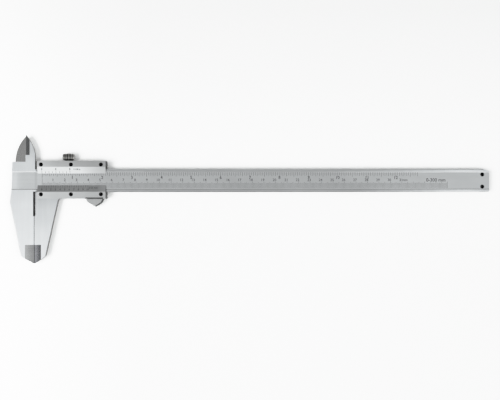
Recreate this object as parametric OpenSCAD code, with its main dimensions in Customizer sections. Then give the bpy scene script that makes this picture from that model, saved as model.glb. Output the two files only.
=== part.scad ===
// Vernier caliper, 0-300 mm and 0-12 in, with outside jaws, crossing inside jaws and a depth rod.
// It lies on its back: X runs along the beam to its free end, Y towards the inside jaws and
// Z out of the scale face. X = 0 is the contact plane of the outside jaws, Y = 0 the beam's
// lower edge and Z = 0 the back of the slider, on which the caliper rests.

/* [Beam] */
// Height of the beam between its guide edges
beam_h = 20; // [19:0.5:22]
// Thickness of the beam and of the outside jaws
beam_t = 4.2; // [4:0.1:5]
// Length of the beam from the jaw contact plane to its free end
beam_len = 393.7; // [390:0.1:420]
// Depth of the band that the scales are cut in
scale_recess = 0.25; // [0.1:0.05:0.4]

/* [Outside jaws] */
// Reach of the outside jaws below the beam
jaw_reach = 61; // [55:0.1:70]
// Width of the movable jaw at its root
jaw_root_w = 19.9; // [18:0.1:22]
// Width of the movable jaw where its tip begins
jaw_tip_w = 9.3; // [8:0.1:11]
// Width of the fixed jaw at its root
fixed_root_w = 20.8; // [20:0.1:22]
// Width of the fixed jaw where its tip begins
fixed_tip_w = 11.2; // [9:0.1:12]
// Length of the relieved part above the contact faces
relief_len = 20.5; // [10:0.1:30]
// Distance that the movable jaw is set back along the relieved part
moving_relief = 1.1; // [0.6:0.1:1.6]
// Length of the hollow-ground blade at the tips
blade_len = 15.9; // [10:0.1:20]
// Thickness of the blade at the contact faces
blade_t = 2.0; // [1.5:0.1:3]

/* [Inside jaws] */
// Height of the inside jaws' tips above the beam's lower edge
fin_top = 48.8; // [44:0.1:52]
// Distance of the inside measuring edges behind the contact plane
fin_edge = 7.35; // [6:0.05:9]
// Radius of the fixed fin's curved back
fixed_fin_r = 40; // [38:1:42]
// Radius of the movable fin's curved back
moving_fin_r = 31; // [29:1:33]
// X of the fixed fin's straight back, below its curve
fixed_fin_x = 0.8; // [0:0.1:1.5]

/* [Slider] */
// Length of the slider along the beam
slider_len = 58; // [56:0.5:60]
// Thickness of the slider's back wall
back_t = 2.4; // [2.2:0.1:3]
// Thickness of the vernier plates
plate_t = 2.2; // [1.8:0.1:2.6]
// Height of the lower rail
lower_rail_h = 5.6; // [5:0.1:6]
// Height of the upper rail
upper_rail_h = 5.55; // [5:0.05:6]
// Free travel of the slider from zero to the end stop
travel = 320; // [250:1:320]

/* [Lock] */
// Radius of the lock knob
knob_r = 4.9; // [4:0.1:4.9]
// Height of the lock knob
knob_h = 5.7; // [4:0.1:7]
// Number of scallops around the knob
knob_scallops = 12; // [8:1:14]
// Way that the lock pad travels before it meets the gib
lock_way = 0.35; // [0.2:0.05:0.35]

/* [Fasteners] */
// Distance between the vernier plate screws
screw_pitch = 25.4; // [25:0.1:26]
// Radius of the screw heads
head_r = 1.7; // [1.4:0.1:1.8]
// Radius of the screw shanks
shank_r = 1.2; // [1:0.1:1.25]

/* [Hidden] */
$fn = 96;
eps = 0.01;
big = 30;

// Running clearances: slider on the beam's faces, and one hidden measuring gap
run = 0.05;
contact_gap = 0.01;

// Levels along Z, from the rest plane up
beam_z0 = back_t + run;
beam_z1 = beam_z0 + beam_t;
rail_z1 = beam_z1 + run;
plate_z1 = rail_z1 + plate_t;
split_z = (beam_z0 + beam_z1) / 2;
scale_z = beam_z1 - scale_recess;

// Beam edges and the band of the scales
edge_chamfer = 0.45;
band_y0 = 2.2;
band_y1 = beam_h - 2.5;
band_slope = 0.35;

// The fixed head's left side leans a little to its foot, and more from there to the jaw's root
head_top_y = 26;
head_top_x = -18.5;
head_foot = [-19.3, 1];
fixed_root_y = -9;
jaw_root_y = -7.6;
jaw_chamfer_w = 1;
jaw_chamfer_d = 0.16;

// Outside jaws: a relieved upper part, then the contact faces with broken front edges
jaw_tip_y = -55;
tip_round = 3.5;
tip_flat = 0.6;
fixed_relief = 0.8;
break_w = 0.2;
break_d = 0.4;
blade_y = blade_len - jaw_reach;
blade_cut = (beam_t - blade_t) / 2;
fixed_blade_w = 7.8;
moving_blade_w = 5.8;

// Inside jaws: arcs pass through the tip, each fin is half as thick as the beam
fin_t = beam_t / 2 - run;
fixed_fin_c = [1.8 - fixed_fin_r, 24];
moving_fin_c = [-16.4 + moving_fin_r, 26.1];
bevel_w = 3.5;
bevel_y = 31.8;
bevel_edge_t = 0.5;
arm_gap = 0.1;

// Slider
slider_x0 = 3.1;
slider_x1 = slider_x0 + slider_len;
gib_space = 1.0;
channel_y1 = beam_h + run + gib_space;
slider_y0 = -lower_rail_h;
slider_y1 = channel_y1 + upper_rail_h;
root_fillet = 2.4;

// Vernier plates: outer strip, then a bevel down to a thin edge over the scales
inch_strip_y = 21.55;
inch_edge_y = 15.9;
mm_strip_y = 0.25;
mm_edge_y = 5.75;
plate_edge_t = 0.15;

// Screws
screw_x0 = 6.4;
upper_screw_y = 23.5;
lower_screw_y = -1.9;
screw_len = 4.2;
head_rim = 0.25;
slot_w = 0.45;
slot_d = 0.4;
fit = 0.03;

// Gib and its set screws
gib_t = 0.9;
gib_y0 = beam_h + run;
gib_z0 = beam_z0 + 0.15;
gib_z1 = beam_z1 - 0.15;
gib_x0 = slider_x0 + 1.4;
gib_x1 = slider_x1 - 1.4;
set_screw_r = 1.2;
set_screw_x = [14, 46];
dimple_d = 0.3;

// Lock: knob, stud and pad on one axis along Y
lock_x = 28.9;
lock_z = 4.95;
stud_r = 1.5;
pad_r = 1.35;
pad_t = 0.33;
pad_y0 = gib_y0 + gib_t + lock_way + 0.09;
stud_y0 = pad_y0 + pad_t + 0.02;
spigot_r = 0.6;
spigot_len = 1.2;
knob_y0 = slider_y1 + lock_way + 0.1;
knob_y1 = knob_y0 + knob_h;
knob_top_r = 4.3;
knob_foot_r = 2.8;
scallop_r = 0.9;
scallop_out = 0.3;

// Thumb rest
thumb_x0 = 44.1;
thumb_x1 = 59;
thumb_y0 = slider_y0 - 0.35;
thumb_left = [44.9, -8.1];
thumb_tip = [52.4, -12.7];
thumb_right = [57.4, -9.3];
thumb_notch = 1;
thumb_z0 = beam_z0 + 0.15;
thumb_z1 = beam_z1 - 0.15;
thumb_grooves = 6;
groove_r = 0.35;
thumb_bevel_w = 0.9;
thumb_bevel_d = 0.8;
ledge_inset = 0.6;
ledge_z1 = 5;
tongue_x0 = 46;
tongue_x1 = 55;
tongue_y1 = -2.55;
tongue_z0 = 3.4;
tongue_z1 = 5.7;
pin_r = 0.75;
pin_y = -3.8;

// Depth rod in the beam's back groove, with a thicker foot under the slider
groove_w = 3.2;
groove_d = 1.5;
rod_w = 3.0;
rod_y = beam_h / 2;
rod_z0 = beam_z0 + 0.1;
rod_z1 = beam_z0 + groove_d - 0.1;
foot_x0 = 8.5;
foot_len = 12;
rivet_r = 0.8;
rivet_inset = 2.8;

// End stop
stop_x0 = slider_x1 + travel + 0.1;
stop_x1 = stop_x0 + 12;
stop_margin = 1.5;
stop_screw_x = stop_x0 + 6.3;
stop_screw_y = [4.6, 15.2];

// ---------- helpers ----------

// A Y-Z profile run along X
module along_x(x0, x1) {
    translate([x0, 0, 0]) rotate([90, 0, 90]) linear_extrude(x1 - x0) children();
}

// An X-Z profile run along Y
module along_y(y0, y1) {
    translate([0, y1, 0]) rotate([90, 0, 0]) linear_extrude(y1 - y0) children();
}

// A round bar along Y
module bar_y(x, z, r, y0, y1) {
    translate([x, y1, z]) rotate([90, 0, 0]) cylinder(r = r, h = y1 - y0);
}

// X of the head's leaning left side at a height y
function head_x(y) = head_top_x
    + (head_top_y - y) / (head_top_y - head_foot[1]) * (head_foot[0] - head_top_x);

// Points of a round corner between the points a and c, centred so that it touches both sides of b
function unit(v) = v / norm(v);
function corner(a, b, c, r, steps = 8) =
    let (u = unit(a - b), v = unit(c - b), half = acos(u * v) / 2,
         m = b + unit(u + v) * r / sin(half), p = b + u * r / tan(half), q = b + v * r / tan(half),
         a0 = atan2(p[1] - m[1], p[0] - m[0]), turn = atan2(q[1] - m[1], q[0] - m[0]) - a0,
         sweep = turn > 180 ? turn - 360 : turn < -180 ? turn + 360 : turn)
    [for (i = [0:steps]) m + r * [cos(a0 + sweep * i / steps), sin(a0 + sweep * i / steps)]];

// Flank of an outside jaw drawn on the +X side, from its root round the tip to the contact face
function jaw_flank(gap, root, side) =
    let (tip = [tip_flat, -jaw_reach])
    concat([root], corner(root, side, tip, tip_round), [tip, [gap, -jaw_reach]]);

// Contact side of an outside jaw, up past the relief to the height y
function jaw_face(gap, relief, y) = [[gap, -relief_len], [relief, -relief_len], [relief, y]];

// Chamfer along the edge from p to q of a face at height z, with the material on the right-hand side
module line_chamfer(p, q, w, d, z = beam_z1) {
    along = q - p;
    over = 2;
    translate([p[0], p[1], z]) rotate([0, 0, atan2(along[1], along[0])])
        rotate([90, 0, 90]) translate([0, 0, -over]) linear_extrude(norm(along) + 2 * over)
            polygon([[-w, 0], [over, -d * (1 + over / w)], [over, 1], [-w, 1]]);
}

// Hollow-ground hollow of a jaw tip, on both faces
module blade_hollow(w) {
    r = (w * w + blade_cut * blade_cut) / (2 * blade_cut);
    for (z = [beam_z1 - blade_cut + r, beam_z0 + blade_cut - r])
        bar_y(0, z, r, blade_y - big, blade_y, $fn = 256);
}

// Broken front edge of a contact face: above the blade at full thickness, then along the blade
module contact_break(side) {
    inner = side * contact_gap;
    outer = side * (contact_gap + 2 * break_w);
    for (part = [[blade_y, -relief_len, beam_z1], [-jaw_reach - 1, blade_y, beam_z1 - blade_cut]])
        along_y(part[0], part[1]) translate([0, part[2]])
            polygon([[inner, -break_d], [outer, break_d], [-side, break_d], [-side, -break_d]]);
}

// Half-length outline of an inside fin with a round back
module fin_outline(centre, r, points) {
    intersection() {
        polygon(points);
        translate(centre) circle(r = r, $fn = 256);
    }
}

// Flat-headed slotted screw, its head's top at the origin and its shank along -Z
module slotted_screw(len) {
    difference() {
        rotate_extrude() polygon([[0, 0], [head_r, 0], [head_r, -head_rim],
            [shank_r, -head_rim - head_r + shank_r], [shank_r, -len], [0, -len]]);
        translate([-head_r - 1, -slot_w / 2, -slot_d]) cube([2 * head_r + 2, slot_w, 1]);
    }
}

// The hole that such a screw sits in
module screw_hole(len) {
    rotate_extrude() polygon([[0, 1], [head_r + fit, 1], [head_r + fit, -head_rim - fit],
        [shank_r + fit, -head_rim - head_r + shank_r - fit], [shank_r + fit, -len], [0, -len]]);
}

module plate_screw_places(y) {
    for (i = [0:2]) translate([screw_x0 + i * screw_pitch, y, plate_z1 - 0.05]) children();
}

module stop_screw_places() {
    for (y = stop_screw_y) translate([stop_screw_x, y, scale_z - 0.05]) children();
}

// ---------- beam ----------

// Bar with chamfered guide edges
module beam_bar() {
    along_x(-15, beam_len) polygon([[edge_chamfer, beam_z0], [beam_h - edge_chamfer, beam_z0],
        [beam_h, beam_z0 + edge_chamfer], [beam_h, beam_z1 - edge_chamfer],
        [beam_h - edge_chamfer, beam_z1], [edge_chamfer, beam_z1],
        [0, beam_z1 - edge_chamfer], [0, beam_z0 + edge_chamfer]]);
}

// Fixed outside jaw with the beam's head, full thickness
module fixed_jaw() {
    translate([0, 0, beam_z0]) linear_extrude(beam_t) mirror([1, 0])
        polygon(concat([[-head_x(beam_h), beam_h], [-head_foot[0], head_foot[1]]],
            jaw_flank(contact_gap, [fixed_root_w, fixed_root_y], [fixed_tip_w, jaw_tip_y]),
            jaw_face(contact_gap, fixed_relief, 0), [[fixed_relief, beam_h]]));
}

// Fixed inside fin and the head above the beam, front half of the thickness only
module fixed_fin() {
    translate([0, 0, beam_z1 - fin_t]) linear_extrude(fin_t)
        fin_outline(fixed_fin_c, fixed_fin_r, [[head_x(beam_h), beam_h],
            [head_x(head_top_y), head_top_y], [-fin_edge, head_top_y], [-fin_edge, fin_top],
            [fixed_fin_x, fin_top], [fixed_fin_x, beam_h - 1], [head_x(beam_h) + 1, beam_h - 1]]);
}

module fixed_fin_bevel() {
    edge_z = beam_z1 - fin_t + bevel_edge_t;
    along_y(bevel_y, fin_top + 1) polygon([[-fin_edge + bevel_w, beam_z1],
        [-fin_edge, edge_z], [-fin_edge - 1, edge_z], [-fin_edge - 1, beam_z1 + 1],
        [-fin_edge + bevel_w, beam_z1 + 1]]);
}

// Sunk band across the front face
module scale_band() {
    along_x(-big, beam_len + 1) polygon([[band_y0, beam_z1 + eps],
        [band_y0 + band_slope, scale_z], [band_y1 - band_slope, scale_z],
        [band_y1, beam_z1 + eps], [band_y1, beam_z1 + 1], [band_y0, beam_z1 + 1]]);
}

// Slanted upper corner and small lower corner of the free end
module beam_end_corners() {
    translate([beam_len, beam_h, 0]) linear_extrude(big)
        polygon([[-6.4, eps], [eps, -1.7], [1, -1.7], [1, 1], [-6.4, 1]]);
    translate([beam_len, 0, 0]) linear_extrude(big)
        polygon([[-1, -eps], [eps, 1], [1, 1], [1, -1], [-1, -1]]);
}

module fixed_jaw_chamfer() {
    root = [-fixed_root_w, fixed_root_y];
    side = [-fixed_tip_w, jaw_tip_y];
    line_chamfer(side, root, jaw_chamfer_w, jaw_chamfer_d);
}

module rod_groove() {
    translate([foot_x0 - 1.5, rod_y - groove_w / 2, beam_z0 - 1])
        cube([beam_len, groove_w, groove_d + 1]);
}

module main_beam() {
    color("lightsteelblue") difference() {
        union() {
            beam_bar();
            fixed_jaw();
            fixed_fin();
        }
        fixed_fin_bevel();
        scale_band();
        beam_end_corners();
        fixed_jaw_chamfer();
        blade_hollow(fixed_blade_w);
        contact_break(-1);
        rod_groove();
        stop_screw_places() screw_hole(big);
    }
}

module end_stop_plate() {
    color("silver") difference() {
        translate([stop_x0, stop_margin, 0]) cube([stop_x1 - stop_x0, beam_h - 2 * stop_margin, beam_z0]);
        stop_screw_places() screw_hole(big);
    }
}

module end_stop_screws() {
    color("black") stop_screw_places() slotted_screw(scale_z - 0.35);
}

// ---------- slider ----------

// Movable outside jaw, with the round corner under the lower rail
module moving_jaw() {
    root = [jaw_root_w, jaw_root_y];
    side = [jaw_tip_w, jaw_tip_y];
    slope = (root[0] - side[0]) / (root[1] - side[1]);
    top = [root[0] + slope * (slider_y0 - root[1]), slider_y0];
    foot = [top[0] + 2 * root_fillet, slider_y0];
    translate([0, 0, beam_z0]) linear_extrude(beam_t) {
        polygon(concat([foot, each corner(foot, top, root, root_fillet)],
            jaw_flank(contact_gap, root, side),
            jaw_face(contact_gap, moving_relief, -run), [[slider_x0 + 1, -run], [foot[0], -run]]));
    }
}

// Arm behind the fixed head and the movable inside fin, back half of the thickness
module moving_fin() {
    translate([0, 0, beam_z0]) linear_extrude(fin_t)
        fin_outline(moving_fin_c, moving_fin_r, [[-20, beam_h + arm_gap],
            [slider_x0 + 1.2, beam_h + arm_gap], [slider_x0 + 1.2, slider_y1],
            [-fin_edge, slider_y1], [-fin_edge, fin_top], [-20, fin_top]]);
}

module moving_fin_bevel() {
    edge_z = beam_z0 + fin_t - bevel_edge_t;
    along_y(bevel_y, fin_top + 1) polygon([[-fin_edge - bevel_w, beam_z0],
        [-fin_edge, edge_z], [-fin_edge + 1, edge_z], [-fin_edge + 1, beam_z0 - 1],
        [-fin_edge - bevel_w, beam_z0 - 1]]);
}

// Pocket for the thumb rest's tongue in the lower rail
module tongue_space(gap) {
    translate([tongue_x0 - gap, thumb_y0 - gap, tongue_z0 - gap])
        cube([tongue_x1 - tongue_x0 + 2 * gap, tongue_y1 - thumb_y0 + 2 * gap,
            tongue_z1 - tongue_z0 + 2 * gap]);
}

module thumb_pins(r, z0, z1) {
    for (x = [tongue_x0 + 2, tongue_x1 - 2])
        translate([x, pin_y, z0]) cylinder(r = r, h = z1 - z0);
}

module rod_rivets(r, z0, z1) {
    for (x = [foot_x0 + rivet_inset, foot_x0 + foot_len - rivet_inset])
        translate([x, rod_y, z0]) cylinder(r = r, h = z1 - z0);
}

module slider_body() {
    color("gainsboro") difference() {
        union() {
            translate([slider_x0, slider_y0, 0]) cube([slider_len, slider_y1 - slider_y0, rail_z1]);
            moving_jaw();
            moving_fin();
        }
        translate([slider_x0 - 1, -run, back_t])
            cube([slider_len + 2, channel_y1 + run, big]);
        moving_fin_bevel();
        blade_hollow(moving_blade_w);
        contact_break(1);
        plate_screw_places(upper_screw_y) screw_hole(screw_len + 0.3);
        plate_screw_places(lower_screw_y) screw_hole(screw_len + 0.3);
        for (x = set_screw_x) bar_y(x, split_z, set_screw_r + fit, channel_y1 - 1, slider_y1 + 1);
        bar_y(lock_x, lock_z, stud_r + run, channel_y1 - 1, slider_y1 + 1);
        tongue_space(fit);
        thumb_pins(pin_r + fit, -1, rail_z1 - 0.3);
        rod_rivets(rivet_r + fit, -1, big);
    }
}

module inch_vernier_plate() {
    color("white") difference() {
        along_x(slider_x0, slider_x1) polygon([[inch_edge_y, rail_z1], [slider_y1, rail_z1],
            [slider_y1, plate_z1], [inch_strip_y, plate_z1], [inch_edge_y, rail_z1 + plate_edge_t]]);
        plate_screw_places(upper_screw_y) screw_hole(big);
    }
}

// Its outer edge has a shallow notch over the thumb rest
module mm_vernier_plate() {
    color("darkgray") difference() {
        along_x(slider_x0, slider_x1) polygon([[mm_edge_y, rail_z1], [slider_y0, rail_z1],
            [slider_y0, plate_z1], [mm_strip_y, plate_z1], [mm_edge_y, rail_z1 + plate_edge_t]]);
        plate_screw_places(lower_screw_y) screw_hole(big);
        translate([thumb_x0, slider_y0 - 1, 0]) cube([thumb_x1 - thumb_x0, 1 + thumb_notch, big]);
    }
}

module inch_plate_screws() {
    color("black") plate_screw_places(upper_screw_y) slotted_screw(screw_len);
}

module mm_plate_screws() {
    color("black") plate_screw_places(lower_screw_y) slotted_screw(screw_len);
}

module gib_strip() {
    color("goldenrod") difference() {
        translate([gib_x0, gib_y0, gib_z0]) cube([gib_x1 - gib_x0, gib_t, gib_z1 - gib_z0]);
        for (x = set_screw_x)
            bar_y(x, split_z, set_screw_r / 2 + fit, gib_y0 + gib_t - dimple_d, gib_y0 + gib_t + 1);
    }
}

module gib_set_screws() {
    dog_y = gib_y0 + gib_t - dimple_d + fit;
    color("dimgray") for (x = set_screw_x) difference() {
        union() {
            bar_y(x, split_z, set_screw_r, channel_y1 + 0.1, slider_y1 - 0.4);
            bar_y(x, split_z, set_screw_r / 2, dog_y, channel_y1 + 0.2);
        }
        translate([x - slot_w / 2, slider_y1 - 0.4 - slot_d, 0]) cube([slot_w, 2, big]);
    }
}

// Shield-shaped rest with a bevelled and grooved flank where the thumb pushes, and a low ledge
// that meets the slider
module thumb_rest() {
    left = [thumb_x0, thumb_y0];
    right = [thumb_x1, thumb_y0];
    flank = thumb_right - thumb_tip;
    color("gray") difference() {
        union() {
            translate([0, 0, thumb_z0]) linear_extrude(thumb_z1 - thumb_z0)
                polygon(concat([left], corner(left, thumb_left, thumb_tip, 2.5),
                    corner(thumb_left, thumb_tip, thumb_right, 1.2),
                    corner(thumb_tip, thumb_right, right, 4), [right]));
            translate([thumb_x0 + ledge_inset, thumb_y0 - 1, thumb_z0])
                cube([thumb_x1 - thumb_x0 - 2 * ledge_inset, slider_y0 - 0.05 - thumb_y0 + 1,
                    ledge_z1 - thumb_z0]);
            tongue_space(0);
        }
        for (i = [1:thumb_grooves]) {
            p = thumb_tip + flank * (i + 0.5) / (thumb_grooves + 1);
            translate([p[0], p[1], 0]) cylinder(r = groove_r, h = big, $fn = 32);
        }
        line_chamfer(thumb_right, thumb_tip, thumb_bevel_w, thumb_bevel_d, thumb_z1);
        line_chamfer(right, thumb_right, thumb_bevel_w, thumb_bevel_d, thumb_z1);
        thumb_pins(pin_r + fit, -1, big);
    }
}

module thumb_rest_pins() {
    color("gray") thumb_pins(pin_r, 0.1, rail_z1 - 0.4);
}

module depth_rod() {
    color("silver") difference() {
        union() {
            translate([foot_x0, rod_y - rod_w / 2, rod_z0])
                cube([beam_len - foot_x0 - 0.1, rod_w, rod_z1 - rod_z0]);
            translate([foot_x0, rod_y - rod_w / 2, back_t]) cube([foot_len, rod_w, rod_z1 - back_t]);
        }
        rod_rivets(rivet_r + fit, -1, rod_z1 - 0.25);
    }
}

module depth_rod_rivets() {
    color("gray") rod_rivets(rivet_r, 0.1, rod_z1 - 0.3);
}

// ---------- lock ----------

module lock_pad() {
    color("goldenrod") {
        bar_y(lock_x, lock_z, pad_r, pad_y0, pad_y0 + pad_t);
        bar_y(lock_x, lock_z, spigot_r, pad_y0, pad_y0 + pad_t + spigot_len);
    }
}

module lock_stud() {
    color("dimgray") difference() {
        bar_y(lock_x, lock_z, stud_r, stud_y0, knob_y1 - 1);
        bar_y(lock_x, lock_z, spigot_r + 0.05, stud_y0 - 1, stud_y0 + spigot_len + 0.2);
    }
}

// Scalloped knob with a chamfered top, rounding off to a narrow foot
module lock_knob() {
    color("dimgray") translate([lock_x, knob_y1, lock_z]) rotate([90, 0, 0]) difference() {
        rotate_extrude() polygon([[stud_r, 1], [stud_r, knob_h], [knob_foot_r, knob_h],
            [knob_r - 0.4, 0.88 * knob_h], [knob_r, 0.78 * knob_h], [knob_r, 0.12 * knob_h],
            [knob_top_r, 0], [0, 0], [0, 1]]);
        for (i = [0:knob_scallops - 1]) rotate([0, 0, 360 * i / knob_scallops])
            translate([knob_r + scallop_out, 0, -1]) cylinder(r = scallop_r, h = knob_h + 2, $fn = 32);
    }
}

main_beam();
end_stop_plate();
end_stop_screws();
slider_body();
inch_vernier_plate();
mm_vernier_plate();
inch_plate_screws();
mm_plate_screws();
gib_strip();
gib_set_screws();
lock_pad();
lock_stud();
lock_knob();
thumb_rest();
thumb_rest_pins();
depth_rod();
depth_rod_rivets();
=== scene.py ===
import math

import bmesh
import bpy
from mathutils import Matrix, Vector


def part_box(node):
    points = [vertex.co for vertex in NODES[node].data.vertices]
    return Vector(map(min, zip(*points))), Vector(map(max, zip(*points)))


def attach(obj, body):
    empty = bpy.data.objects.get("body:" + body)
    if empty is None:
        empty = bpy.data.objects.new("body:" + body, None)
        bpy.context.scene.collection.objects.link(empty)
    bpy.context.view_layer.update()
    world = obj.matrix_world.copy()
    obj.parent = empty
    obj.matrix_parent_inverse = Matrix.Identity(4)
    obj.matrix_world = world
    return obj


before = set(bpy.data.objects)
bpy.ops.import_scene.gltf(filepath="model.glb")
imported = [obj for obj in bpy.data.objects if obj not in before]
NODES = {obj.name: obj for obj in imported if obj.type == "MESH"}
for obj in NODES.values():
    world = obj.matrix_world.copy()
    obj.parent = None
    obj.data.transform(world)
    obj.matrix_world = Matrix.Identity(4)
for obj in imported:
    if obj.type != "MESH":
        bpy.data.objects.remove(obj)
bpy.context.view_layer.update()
MM = 0.001

# ---------- measures repeated from the CAD source, in mm ----------

BEAM_TOP, BAND_TOP = 6.65, 6.40          # front face of the beam, floor of the scale band
RAIL_TOP = 6.70                          # top of the slider's rails, under the vernier plates
THUMB_Y = -6.0                           # above this the thumb rest has only its low ledge
BLADE_Y = -45.0                          # the ground blades of the outside jaws lie below this
FIXED_BLADE_W, MOVING_BLADE_W = 7.9, 5.9 # just past the width of each blade
FIN_BEVEL_Y = 31.0                       # below the ground bevel of the fixed inside fin
RELIEF_Y = -25.0                         # below the relief in the jaws' contact edges
KNOB_LAND_R = 4.4                        # outside the knob's scallops, inside its lands
ZERO_X = 6.8                             # zero marks of all four scales at rest
PLATE_EDGE_Z, PLATE_TOP = 6.85, 8.90
INCH_EDGE_Y, INCH_STRIP_Y = 15.9, 21.55
MM_EDGE_Y, MM_STRIP_Y = 5.75, 0.25
INCH = 25.4
INCH_MARKS, MM_MARKS = 12 * 16 + 13, 351   # marks on the beam: sixteenths past 12 in, and 0 to 350 mm
INCH_MARKS_TOP, MM_MARKS_FOOT = 17.1, 3.4
INCH_DIVISIONS, INCH_DIVISION = 8, INCH * 15 / 16 / 8   # 8 vernier divisions over 15 sixteenths
MM_DIVISIONS, MM_DIVISION = 20, 1.95                    # 20 vernier divisions over 39 mm
MARK_SINK, MARK_PROUD = 0.03, 0.012      # how deep and how proud the filled marks are


# ---------- materials ----------

FINE_GRAIN, STREAK_GRAIN, GRIT_GRAIN = 5200.0, 260.0, 900.0   # noise cells over a metre, about


def new_material(name):
    material = bpy.data.materials.new(name)
    material.use_nodes = True
    return material, material.node_tree, material.node_tree.nodes["Principled BSDF"]


def math_node(tree, operation, a, b=None):
    node = tree.nodes.new("ShaderNodeMath")
    node.operation = operation
    for socket, value in zip(node.inputs, (a, b)):
        if isinstance(value, (int, float)):
            socket.default_value = value
        elif value is not None:
            tree.links.new(value, socket)
    return node.outputs[0]


def noise(tree, vector, detail, rough=0.55):
    """Noise that takes its scale from the stretched coordinates it is given."""
    node = tree.nodes.new("ShaderNodeTexNoise")
    node.inputs["Scale"].default_value = 1.0
    node.inputs["Detail"].default_value = detail
    node.inputs["Roughness"].default_value = rough
    tree.links.new(vector, node.inputs["Vector"])
    return node.outputs["Fac"]


def stretched(tree, stretch):
    """Object coordinates, in metres, scaled along each axis."""
    coord = tree.nodes.new("ShaderNodeTexCoord")
    mapping = tree.nodes.new("ShaderNodeMapping")
    mapping.inputs["Scale"].default_value = stretch
    tree.links.new(coord.outputs["Object"], mapping.inputs["Vector"])
    return mapping.outputs["Vector"]


def remap(tree, value, low, high, start=0.0, end=1.0):
    node = tree.nodes.new("ShaderNodeMapRange")
    tree.links.new(value, node.inputs["Value"])
    for key, setting in (("From Min", start), ("From Max", end), ("To Min", low), ("To Max", high)):
        node.inputs[key].default_value = setting
    return node.outputs["Result"]


def edge_mask(tree, radius):
    """1 on an edge, 0 away from it: how far the rounded normal leans from the true one."""
    bevel = tree.nodes.new("ShaderNodeBevel")
    bevel.samples = 4
    bevel.inputs["Radius"].default_value = radius * MM
    geometry = tree.nodes.new("ShaderNodeNewGeometry")
    dot = tree.nodes.new("ShaderNodeVectorMath")
    dot.operation = "DOT_PRODUCT"
    tree.links.new(bevel.outputs["Normal"], dot.inputs[0])
    tree.links.new(geometry.outputs["Normal"], dot.inputs[1])
    return remap(tree, dot.outputs["Value"], 1.0, 0.0, 0.80, 0.995)


def gain_along(tree, axis, stops):
    """Painted light and shade: a tone gain that changes along one of the object's axes, through (mm, gain)
    stops.
    """
    coord = tree.nodes.new("ShaderNodeTexCoord")
    split = tree.nodes.new("ShaderNodeSeparateXYZ")
    tree.links.new(coord.outputs["Object"], split.inputs[0])
    first, last = stops[0][0], stops[-1][0]
    ramp = tree.nodes.new("ShaderNodeValToRGB")
    share = remap(tree, split.outputs[axis], 0.0, 1.0, first * MM, last * MM)
    tree.links.new(share, ramp.inputs["Fac"])
    elements = ramp.color_ramp.elements
    elements.remove(elements[1])
    elements[0].position, elements[0].color = 0.0, [stops[0][1]] * 3 + [1]
    for x, gain in stops[1:]:
        elements.new((x - first) / (last - first)).color = [gain] * 3 + [1]
    return ramp.outputs["Color"]


def steel(name, tone, rough, grain="x", grain_gain=0.10, cloud_gain=0.05, bump=0.15,
          wear=0.25, tint=(0.985, 0.995, 1.0), along=None, metallic=1.0):
    """Ground or satin steel: fine grain along one axis, faint clouds, edges a little brighter, and painted
    reflection and shade from the along stops.
    """
    material, tree, bsdf = new_material(name)
    stretch = {"x": (0.02, 1, 1), "y": (1, 0.02, 1), "z": (1, 1, 0.02), "none": (1, 1, 1)}[grain]
    hair = noise(tree, stretched(tree, [FINE_GRAIN * s for s in stretch]), 4.0, 0.7)
    coarse = [STREAK_GRAIN * (s if s == 1 else 0.06) for s in stretch]
    streak = noise(tree, stretched(tree, coarse), 3.0)
    cloud = noise(tree, stretched(tree, (38, 38, 38)), 2.0)
    shade = math_node(tree, "MULTIPLY", remap(tree, streak, 1 - grain_gain, 1 + grain_gain, 0.25, 0.75),
                      remap(tree, cloud, 1 - cloud_gain, 1 + cloud_gain, 0.25, 0.75))
    worn = math_node(tree, "MULTIPLY", edge_mask(tree, 0.18), wear)
    shade = math_node(tree, "MULTIPLY", shade, math_node(tree, "ADD", worn, 1.0))
    # painted reflection and shade, from the along stops
    for axis, stops in (along or {}).items():
        shade = math_node(tree, "MULTIPLY", shade, gain_along(tree, axis, stops))
    scale = tree.nodes.new("ShaderNodeVectorMath")
    scale.operation = "SCALE"
    scale.inputs[0].default_value = [tone * t for t in tint]
    tree.links.new(shade, scale.inputs["Scale"])
    tree.links.new(scale.outputs["Vector"], bsdf.inputs["Base Color"])
    bsdf.inputs["Metallic"].default_value = metallic
    rough_now = math_node(tree, "ADD", remap(tree, hair, rough - 0.05, rough + 0.05, 0.3, 0.7),
                          remap(tree, cloud, -0.03, 0.03, 0.3, 0.7))
    tree.links.new(rough_now, bsdf.inputs["Roughness"])
    if bump:
        relief = tree.nodes.new("ShaderNodeBump")
        relief.inputs["Strength"].default_value = bump
        relief.inputs["Distance"].default_value = 0.01 * MM
        tree.links.new(hair, relief.inputs["Height"])
        tree.links.new(relief.outputs["Normal"], bsdf.inputs["Normal"])
    return material


def coated(name, colour, rough, specular, bump=0.2, gain=0.35):
    """Blackened or filled surface with a fine grit."""
    material, tree, bsdf = new_material(name)
    grit = noise(tree, stretched(tree, (GRIT_GRAIN,) * 3), 4.0, 0.65)
    cloud = noise(tree, stretched(tree, (150,) * 3), 2.0)
    shade = math_node(tree, "MULTIPLY", remap(tree, grit, 1 - gain, 1 + gain, 0.3, 0.7),
                      remap(tree, cloud, 1 - gain / 2, 1 + gain / 2, 0.3, 0.7))
    scale = tree.nodes.new("ShaderNodeVectorMath")
    scale.operation = "SCALE"
    scale.inputs[0].default_value = colour
    tree.links.new(shade, scale.inputs["Scale"])
    tree.links.new(scale.outputs["Vector"], bsdf.inputs["Base Color"])
    bsdf.inputs["Specular IOR Level"].default_value = specular
    tree.links.new(remap(tree, grit, rough - 0.08, rough + 0.08, 0.3, 0.7), bsdf.inputs["Roughness"])
    relief = tree.nodes.new("ShaderNodeBump")
    relief.inputs["Strength"].default_value = bump
    relief.inputs["Distance"].default_value = 0.02 * MM
    tree.links.new(grit, relief.inputs["Height"])
    tree.links.new(relief.outputs["Normal"], bsdf.inputs["Normal"])
    return material
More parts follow.
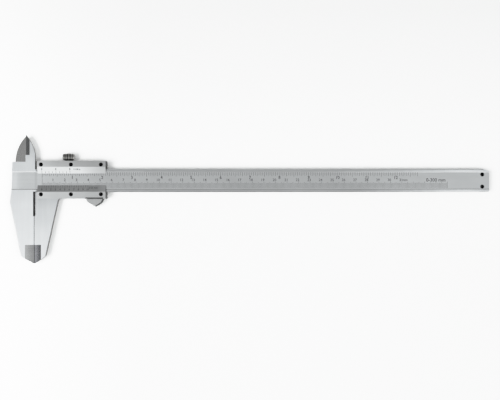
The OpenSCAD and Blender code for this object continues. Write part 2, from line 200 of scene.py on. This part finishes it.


# The (mm, gain) stops are painted reflection and shade: they mimic how the room's reflections change along
# each face. They are tuned for the front view, so they hold less well from other sides.

COOL = (0.98, 1.0, 1.015)
BLUE = (0.985, 1.0, 1.05)
# Painted reflection: the jaw steel darkens from the tips towards the slider.
JAW = steel("satin_jaw_steel", 0.85, 0.35, "y", grain_gain=0.04, tint=COOL, along={"Y": (
    (-50, 0.99), (-36, 0.975), (-31, 0.947), (-25, 0.896), (-15, 0.865), (-10, 0.82), (-6, 0.80))})
# Painted reflection along the beam face and past the fin's top, and a painted shadow line at X 1.5 to 3 mm
# between the head and the slider.
BEAM_FRONT = steel("beam_front_steel", 0.85, 0.35, "y", grain_gain=0.04, tint=COOL, along={
    "X": ((0.9, 1.0), (1.5, 0.45), (3.0, 0.45), (3.6, 0.62), (66, 0.58), (140, 0.54), (235, 0.54),
          (276, 0.53), (300, 0.60), (324, 0.68), (349, 0.80), (372, 0.95), (390, 0.80)),
    "Y": ((-50, 1.05), (-26, 1.03), (-16, 1.02), (-11, 1.04), (-5, 1.02), (0, 1.0), (26, 1.0), (35, 0.90))})
# Painted reflection along the scale band, with a slight painted shadow at X 1.4 to 2.4 mm.
BAND = steel("scale_band_steel", 0.62, 0.35, "x", grain_gain=0.03, tint=(0.98, 0.998, 1.008), along={"X": (
    (-20, 1.35), (-15, 1.33), (-13.5, 1.20), (-10, 1.15), (0.8, 1.12), (1.4, 0.98), (2.4, 0.98),
    (3.0, 1.12), (66, 0.93), (140, 0.90), (235, 0.83), (276, 0.87), (324, 0.91), (372, 0.94))})
# Painted shade: the chamfer on the beam's upper edge is a dark copy of the lower one; both carry painted
# reflection along X.
UPPER_EDGE = steel("upper_edge_painted_shade", 0.30, 0.30, "x", grain_gain=0.05, along={"X": (
    (-20, 1.0), (60, 1.5), (230, 1.6), (269, 1.3), (317, 0.9), (372, 0.6))})
LOWER_EDGE = steel("lower_edge_steel", 0.85, 0.35, "x", grain_gain=0.05, along={"X": (
    (-20, 0.50), (60, 0.38), (140, 0.27), (235, 0.27), (317, 0.50), (372, 0.90), (390, 0.70))})
# Lit and shaded copies of the step steel: the step facing +Y is painted in shade, the one facing -Y painted
# lit, each with painted reflection along X.
STEP_PAINTED_SHADE = steel("lower_step_painted_shade", 0.12, 0.35, "x", grain_gain=0.05, along={"X": (
    (-20, 1.0), (2, 1.0), (4, 3.0), (230, 3.0), (269, 2.2), (317, 1.2), (343, 1.0))})
STEP_PAINTED_LIGHT = steel("upper_step_painted_light", 0.90, 0.40, "x", grain_gain=0.05, metallic=0.75, along={"X": (
    (-20, 1.0), (2, 1.0), (4, 0.75), (66, 0.70), (140, 0.46), (235, 0.48), (269, 0.74), (317, 0.84),
    (343, 1.0))})
# Painted reflection along X across each ground blade.
FIXED_BLADE = steel("fixed_blade_steel", 0.355, 0.24, "x", grain_gain=0.06, along={"X": (
    (-8, 1.40), (0, 0.76))})
MOVING_BLADE = steel("moving_blade_steel", 0.34, 0.24, "x", grain_gain=0.06, tint=BLUE, along={"X": (
    (-7, 1.0), (0, 0.95), (6, 0.85))})
MOVING_FIN = steel("moving_fin_steel", 0.34, 0.24, "y", grain_gain=0.06, tint=(1.0, 0.995, 0.985))
# Painted shade: the fixed fin's tilted bevel is a darker copy of the ground steel.
FIN_BEVEL = steel("ground_bevel_painted_shade", 0.27, 0.22, "y", grain_gain=0.06)
CHAMFER = steel("bright_chamfer_steel", 0.80, 0.45, "y", grain_gain=0.04, metallic=0.75)
# Painted shade: side walls are dark copies of the steel; the slider's end wall and the relief walls between
# the jaws are darkest.
WALL = steel("side_wall_painted_shade", 0.20, 0.38, "x", grain_gain=0.12)
END_WALL = steel("slider_end_painted_shade", 0.05, 0.40, "z", grain_gain=0.12)
RELIEF = steel("relief_wall_painted_shade", 0.04, 0.45, "y", grain_gain=0.12)
# Painted light: the beam's +Y guide wall is a light copy of the wall steel, so it throws more light onto
# the floor above the beam.
GUIDE = steel("guide_edge_painted_light", 0.85, 0.30, "x", grain_gain=0.05)
BACK = steel("back_steel", 0.60, 0.45, "x")
# Painted reflection and light along X on the vernier plates and their bevels.
INCH_PLATE = steel("inch_plate_steel", 0.60, 0.35, "x", grain_gain=0.05, along={"X": (
    (2.6, 1.18), (11, 1.12), (20, 1.01), (30, 0.95), (40, 0.91), (50, 0.81), (61, 0.81))})
INCH_BEVEL = steel("inch_bevel_steel", 0.62, 0.35, "x", grain_gain=0.04, along={"X": (
    (2.6, 1.14), (20, 1.09), (40, 1.05), (46, 0.93), (54, 0.80), (61, 0.73))})
MM_PLATE = steel("mm_plate_steel", 0.62, 0.35, "x", grain_gain=0.05, along={"X": (
    (2.6, 1.19), (11, 1.17), (20, 1.10), (28, 1.09), (37, 1.01), (46, 0.94), (61, 0.89))})
MM_BEVEL = steel("mm_bevel_steel", 0.60, 0.35, "x", grain_gain=0.05, along={"X": (
    (2.6, 1.02), (54, 1.04), (57, 1.2), (61, 1.35))})
TURNED = steel("turned_steel", 0.55, 0.38, "none", grain_gain=0.06)
# Painted shade: dark copies of the steel for the rail top seen beside the thumb rest, the thumb rest's low
# ledge and walls, and, darker still, its bevelled flank.
SHADED = steel("painted_shade_steel", 0.15, 0.38, "none", grain_gain=0.12)
THUMB_EDGE = steel("thumb_edge_painted_shade", 0.08, 0.30, "none", grain_gain=0.12)
# Painted light and shade across the knob: dark at the foot, a lit band just above it, dimmer towards the
# top.
KNOB_PAINTED_LIGHT_AND_SHADE = {"Y": ((27.0, 0.10), (28.1, 0.20), (28.5, 0.80), (29.0, 1.25), (29.8, 0.80), (30.7, 0.48),
                    (31.6, 0.48), (32.8, 0.80))}
KNOB = steel("dark_knob_steel", 0.42, 0.33, "y", grain_gain=0.25, bump=0.3, wear=0.4,
             tint=(1.0, 0.99, 0.95), along=KNOB_PAINTED_LIGHT_AND_SHADE)
# Painted shade: the knob's scallops are a dark copy of its steel.
KNOB_VALLEY = steel("knob_valley_painted_shade", 0.10, 0.40, "y", grain_gain=0.25, bump=0.3, wear=0.6,
                    tint=(1.0, 0.99, 0.95), along=KNOB_PAINTED_LIGHT_AND_SHADE)
BRASS = steel("gib_brass", 0.80, 0.38, "x", tint=(1.0, 0.78, 0.42))
OXIDE = coated("black_oxide", (0.001, 0.001, 0.0012), 0.42, specular=0.04)
FILL = coated("mark_fill", (0.060, 0.062, 0.065), 0.6, specular=0.2)


def dress(node, pick):
    """Gives each face of a CAD node the material that its place and direction ask for."""
    mesh = NODES[node].data
    mesh.materials.clear()
    slots = {}
    for face in mesh.polygons:
        material = pick(face.center / MM, face.normal)
        if material.name not in slots:
            slots[material.name] = len(slots)
            mesh.materials.append(material)
        face.material_index = slots[material.name]


FLAT, WALL_SLOPE = 0.97, 0.5             # a normal's z above which a face is flat, below which it is a wall


def on_blade(place, normal, width):
    """Is this face part of the hollow grinding at a jaw's tip?"""
    return place.y < BLADE_Y and normal.z > 0.8 and abs(place.x) < width and place.z < BEAM_TOP - 0.001


def pick_beam(place, normal):
    if normal.z < -0.9:
        return BACK
    # the guide wall gets the light copy of the wall steel
    if abs(normal.y) > 0.9 and place.y > 0:
        return GUIDE
    if on_blade(place, normal, FIXED_BLADE_W):
        return FIXED_BLADE
    if place.y > FIN_BEVEL_Y and 0.2 < normal.z < FLAT:
        return FIN_BEVEL
    # chamfers: painted shade on the one facing +Y
    if 0.5 < normal.z < 0.75 and abs(normal.y) > 0.5:
        return UPPER_EDGE if normal.y > 0 else LOWER_EDGE
    # step walls: painted shade facing +Y, painted light facing -Y
    if 0.75 < normal.z < 0.9 and abs(normal.y) > 0.5:
        return STEP_PAINTED_SHADE if normal.y > 0 else STEP_PAINTED_LIGHT
    # painted shade in the relief between the jaws and on the walls
    if normal.x > 0.9 and RELIEF_Y < place.y < 20 and place.x < 0:
        return RELIEF
    if abs(normal.z) < WALL_SLOPE:
        return WALL
    if normal.x < -0.05 and place.x < -5:
        return CHAMFER
    return BAND if abs(place.z - BAND_TOP) < 0.01 else BEAM_FRONT


def pick_slider(place, normal):
    if on_blade(place, normal, MOVING_BLADE_W):
        return MOVING_BLADE
    if place.y > 20 and place.x < 2.6 and normal.z > 0.5:
        return MOVING_FIN
    # painted shade in the relief between the jaws
    if normal.x < -0.9 and RELIEF_Y < place.y < 0:
        return RELIEF
    # painted shade where the rail top shows in the gap above the thumb rest
    if normal.z > 0.9 and abs(place.z - RAIL_TOP) < 0.01:
        return SHADED
    return pick_wall(place, normal) or (BACK if normal.z < 0 else JAW)


def pick_wall(place, normal):
    """Walls get painted shade, the one that ends the slider the darkest; other faces are left to the
    caller.
    """
    if abs(normal.z) < WALL_SLOPE:
        return END_WALL if normal.x > 0.9 and place.x > 55 else WALL


def pick_plate(place, normal, face, bevel):
    return pick_wall(place, normal) or (face if abs(normal.z) > FLAT else bevel)


def pick_thumb(place, normal):
    # painted shade on the thumb rest's ledge and walls, darker painted shade on its bevel
    if abs(normal.z) < WALL_SLOPE or place.y > THUMB_Y:
        return SHADED
    return TURNED if abs(normal.z) > FLAT else THUMB_EDGE


def pick_knob(place, normal):
    """Scallops get painted shade, the lands between them stay lighter."""
    low, high = (Vector(v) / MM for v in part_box("lock_stud"))
    axis = (low + high) / 2
    radius = math.hypot(place.x - axis.x, place.z - axis.z)
    return KNOB_VALLEY if radius < KNOB_LAND_R and abs(normal.y) < 0.3 else KNOB


dress("main_beam", pick_beam)
dress("slider_body", pick_slider)
dress("inch_vernier_plate", lambda place, normal: pick_plate(place, normal, INCH_PLATE, INCH_BEVEL))
dress("mm_vernier_plate", lambda place, normal: pick_plate(place, normal, MM_PLATE, MM_BEVEL))
dress("thumb_rest", pick_thumb)
dress("lock_knob", pick_knob)
for material, nodes in ((OXIDE, ("end_stop_screws", "inch_plate_screws", "mm_plate_screws")),
                        (TURNED, ("end_stop_plate", "lock_stud", "thumb_rest_pins", "depth_rod_rivets")),
                        (BRASS, ("gib_strip", "lock_pad")),
                        (KNOB, ("gib_set_screws",)), (BACK, ("depth_rod",))):
    for name in nodes:
        dress(name, lambda place, normal: material)


# ---------- scale marks ----------

def piece(name, verts, faces, material, body):
    mesh = bpy.data.meshes.new(name)
    mesh.from_pydata([Vector(v) * MM for v in verts], [], faces)
    mesh.materials.append(material)
    mesh.update()
    marks = bpy.data.objects.new(name, mesh)
    bpy.context.scene.collection.objects.link(marks)
    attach(marks, body)


class Marks:
    """Filled lines and numerals, laid on a surface whose height is level(y)."""

    def __init__(self, level):
        self.level, self.verts, self.faces = level, [], []

    def add(self, points, faces):
        base = len(self.verts)
        self.verts += [(x, y, self.level(y) + h) for x, y, h in points]
        self.faces += [[base + i for i in f] for f in faces]

    def line(self, x, y0, y1, width):
        xs, ys, hs = (x - width / 2, x + width / 2), (y0, y1), (-MARK_SINK, MARK_PROUD)
        self.add([(a, b, h) for h in hs for b in ys for a in xs],
                 [(0, 2, 3, 1), (4, 5, 7, 6), (0, 1, 5, 4), (2, 6, 7, 3), (0, 4, 6, 2), (1, 3, 7, 5)])

    def text(self, body, x, y, height):
        points, faces = glyphs(body)
        grow = height / GLYPH_HEIGHT
        self.add([(x + px * grow, y + py * grow, MARK_PROUD if top else -MARK_SINK)
                  for px, py, top in points], faces)


GLYPH_HEIGHT = 0.70
_glyphs = {}


def glyphs(body):
    """Closed mesh of a short text in the built-in font, centred: points (x, y, is_top) and faces."""
    if body not in _glyphs:
        curve = bpy.data.curves.new("glyph", "FONT")
        curve.body, curve.size, curve.extrude, curve.resolution_u = body, 1.0, 0.1, 3
        curve.offset = 0.012
        letters = bpy.data.objects.new("glyph", curve)
        bpy.context.scene.collection.objects.link(letters)
        bpy.context.view_layer.update()
        mesh = bpy.data.meshes.new_from_object(letters.evaluated_get(bpy.context.evaluated_depsgraph_get()))
        bm = bmesh.new()
        bm.from_mesh(mesh)
        bmesh.ops.remove_doubles(bm, verts=bm.verts, dist=1e-5)
        bmesh.ops.recalc_face_normals(bm, faces=bm.faces)
        bm.verts.index_update()
        xs, ys = [v.co.x for v in bm.verts], [v.co.y for v in bm.verts]
        cx, cy = (min(xs) + max(xs)) / 2, 0.35
        _glyphs[body] = ([(v.co.x - cx, v.co.y - cy, v.co.z > 0) for v in bm.verts],
                         [[v.index for v in f.verts] for f in bm.faces])
        bm.free()
        bpy.data.objects.remove(letters)
        bpy.data.meshes.remove(mesh)
        bpy.data.curves.remove(curve)
    return _glyphs[body]


lines, numbers = Marks(lambda y: BAND_TOP), Marks(lambda y: BAND_TOP)
for i in range(MM_MARKS):
    # whole centimetres are the longest, then halves
    top = next(y for step, y in ((10, 9.0), (5, 8.6), (1, 7.9)) if i % step == 0)
    lines.line(ZERO_X + i, MM_MARKS_FOOT, top, 0.20)
for i in range(INCH_MARKS):
    # whole inches are the longest, then halves, quarters, eighths and sixteenths
    foot = next(y for step, y in ((16, 12.8), (8, 13.3), (4, 13.7), (2, 14.0), (1, 14.4)) if i % step == 0)
    lines.line(ZERO_X + i * INCH / 16, foot, INCH_MARKS_TOP, 0.24)
lines.line(ZERO_X, 7.0, 15.6, 0.16)
for n in range(1, 32):
    numbers.text(str(n), ZERO_X + 10 * n - 0.9, 10.5, 2.2)
for n in range(1, 13):
    numbers.text(str(n), ZERO_X + INCH * n + 0.2, 12.6, 2.6)
numbers.text("mm", ZERO_X + 312.8, 10.5, 2.0)
numbers.text("0-300 mm", 346.6, 10.5, 2.9)
piece("main_scale_lines", lines.verts, lines.faces, FILL, "beam")
piece("main_scale_numerals", numbers.verts, numbers.faces, FILL, "beam")


def bevel_height(edge_y, strip_y):
    """Height of a vernier plate's bevel, which rises from its thin edge to the flat strip."""
    slope = (PLATE_TOP - PLATE_EDGE_Z) / (strip_y - edge_y)
    return lambda y: PLATE_EDGE_Z + (y - edge_y) * slope


inch = Marks(bevel_height(INCH_EDGE_Y, INCH_STRIP_Y))
metric = Marks(bevel_height(MM_EDGE_Y, MM_STRIP_Y))
for i in range(INCH_DIVISIONS + 1):
    inch.line(ZERO_X + i * INCH_DIVISION, 16.0, 18.6 if i % 4 == 0 else 17.8, 0.2)
    if i % 4 == 0:
        inch.text(str(i), ZERO_X + i * INCH_DIVISION, 19.7, 1.6)
inch.text("1/128 in", 36.7, 19.5, 1.3)
for i in range(MM_DIVISIONS + 1):
    metric.line(ZERO_X + i * MM_DIVISION, 3.6 if i % 2 == 0 else 4.1, 5.65, 0.18)
    if i % 2 == 0:
        metric.text(str(i // 2), ZERO_X + i * MM_DIVISION, 2.3, 1.6)
metric.text("0.05 mm", 50.4, 3.7, 1.5)
piece("inch_vernier_marks", inch.verts, inch.faces, FILL, "slider")
piece("mm_vernier_marks", metric.verts, metric.faces, FILL, "slider")


# ---------- floor, light and camera ----------

# Painted light: the floor's colour is made lighter to the left and darker towards the top.
FLOOR_PAINTED_LIGHT = {"Y": ((-150, 0.86), (-50, 0.86), (30, 0.88), (70, 0.84), (160, 0.72)),
               "X": ((-30, 1.15), (20, 1.05), (90, 0.97))}


def floor_material():
    material, tree, bsdf = new_material("floor_paper")
    fibre = noise(tree, stretched(tree, (300, 300, 300)), 4.0)
    scale = tree.nodes.new("ShaderNodeVectorMath")
    scale.operation = "SCALE"
    scale.inputs[0].default_value = (0.86, 0.865, 0.86)
    shade = remap(tree, fibre, 0.99, 1.01, 0.3, 0.7)
    for axis, stops in FLOOR_PAINTED_LIGHT.items():
        shade = math_node(tree, "MULTIPLY", shade, gain_along(tree, axis, stops))
    tree.links.new(shade, scale.inputs["Scale"])
    tree.links.new(scale.outputs["Vector"], bsdf.inputs["Base Color"])
    bsdf.inputs["Roughness"].default_value = 0.9
    bsdf.inputs["Specular IOR Level"].default_value = 0.2
    return material


FLOOR_HALF, FLOOR_DROP = 6.0, 5e-5       # metres; the drop keeps the floor clear of the slider's back
floor_mesh = bpy.data.meshes.new("floor")
floor_mesh.from_pydata([(FLOOR_HALF * x, FLOOR_HALF * y, -FLOOR_DROP)
                        for x, y in ((-1, -1), (1, -1), (1, 1), (-1, 1))], [], [(0, 1, 2, 3)])
floor_mesh.materials.append(floor_material())
floor = bpy.data.objects.new("floor", floor_mesh)
bpy.context.scene.collection.objects.link(floor)

world = bpy.data.worlds.new("studio")
world.use_nodes = True
bpy.context.scene.world = world
wt = world.node_tree
coord = wt.nodes.new("ShaderNodeTexCoord")


def sky_lobe(lean_x, lean_y, gain, tightness):
    """A soft patch of the room, brighter or darker than the rest, round one direction."""
    dot = wt.nodes.new("ShaderNodeVectorMath")
    dot.operation = "DOT_PRODUCT"
    dot.inputs[1].default_value = Vector(
        (math.tan(math.radians(lean_x)), math.tan(math.radians(lean_y)), 1)).normalized()
    wt.links.new(coord.outputs["Generated"], dot.inputs[0])
    falloff = math_node(wt, "MULTIPLY", math_node(wt, "SUBTRACT", dot.outputs["Value"], 1.0), tightness)
    return math_node(wt, "MULTIPLY", math_node(wt, "EXPONENT", falloff), gain)


ROOM, HORIZON, DARKEST = 0.47, 0.90, 0.05
LOBES = [(0, -30, 1.1, 6),         # lean to +X and to +Y in degrees, gain, tightness: bright side
         (39, 0, 0.25, 6),         # softer light from the right
         (0, 45, -0.30, 9),        # dark patch past the inside jaws
         (-50, 4, -0.22, 9),       # dark patch on the left
         (-2, 3, -0.30, 25),       # darker ceiling over the camera
         (-22, -8, 0.30, 24)]      # small window to the left
light = ROOM
for lobe in LOBES:
    light = math_node(wt, "ADD", light, sky_lobe(*lobe))
upward = wt.nodes.new("ShaderNodeSeparateXYZ")
wt.links.new(coord.outputs["Generated"], upward.inputs[0])
# near the horizon the lobes give way to one even brightness
horizon = wt.nodes.new("ShaderNodeMix")
horizon.data_type = "FLOAT"
horizon.inputs["B"].default_value = HORIZON
wt.links.new(math_node(wt, "MAXIMUM", light, DARKEST), horizon.inputs["A"])
wt.links.new(remap(wt, upward.outputs["Z"], 1.0, 0.0, 0.02, 0.30), horizon.inputs["Factor"])
wt.links.new(horizon.outputs["Result"], wt.nodes["Background"].inputs["Strength"])
wt.nodes["Background"].inputs["Color"].default_value = (0.99, 1.0, 1.0, 1)


def floor_light(name, place, aim, size, power):
    """Lights the floor and the dull parts; polished faces mirror the room instead."""
    data = bpy.data.lights.new(name, "AREA")
    data.shape, data.size, data.energy = "DISK", size, power
    lamp = bpy.data.objects.new(name, data)
    lamp.location = place
    lamp.rotation_mode = "QUATERNION"
    lamp.rotation_quaternion = (Vector(aim) - Vector(place)).to_track_quat("-Z", "Y")
    lamp.visible_glossy = False
    bpy.context.scene.collection.objects.link(lamp)


floor_light("key", (-0.85, -0.25, 1.35), (0.12, 0.0, 0.0), 0.9, 27)
floor_light("fill", (0.75, -0.15, 1.20), (0.10, 0.0, 0.0), 1.2, 9)

camera_data = bpy.data.cameras.new("camera")
camera_data.lens, camera_data.sensor_width = 46.0, 36.0
camera_data.clip_start, camera_data.clip_end = 0.01, 100
camera = bpy.data.objects.new("camera", camera_data)
camera.location = (0.169, -0.0094, 0.558)
camera.rotation_euler = (math.radians(0.26), math.radians(-1.63), math.radians(-0.06))
bpy.context.scene.collection.objects.link(camera)
bpy.context.scene.camera = camera

# Standard colours with a soft shoulder: mid tones as they are, the bright floor eased in under white
WHITE_LEVEL = 1.6
view = bpy.context.scene.view_settings
view.view_transform = "Standard"
view.use_curve_mapping = True
view.curve_mapping.white_level = (WHITE_LEVEL,) * 3
view.curve_mapping.extend = "HORIZONTAL"
shoulder = view.curve_mapping.curves[3].points
shoulder[0].location, shoulder[1].location = (0.0, 0.0), (1.0, 0.985)
for bright, shown in ((0.4, 0.4), (0.8, 0.8), (1.0, 0.905), (1.2, 0.945), (1.4, 0.97)):
    shoulder.new(bright / WHITE_LEVEL, shown)
view.curve_mapping.update()
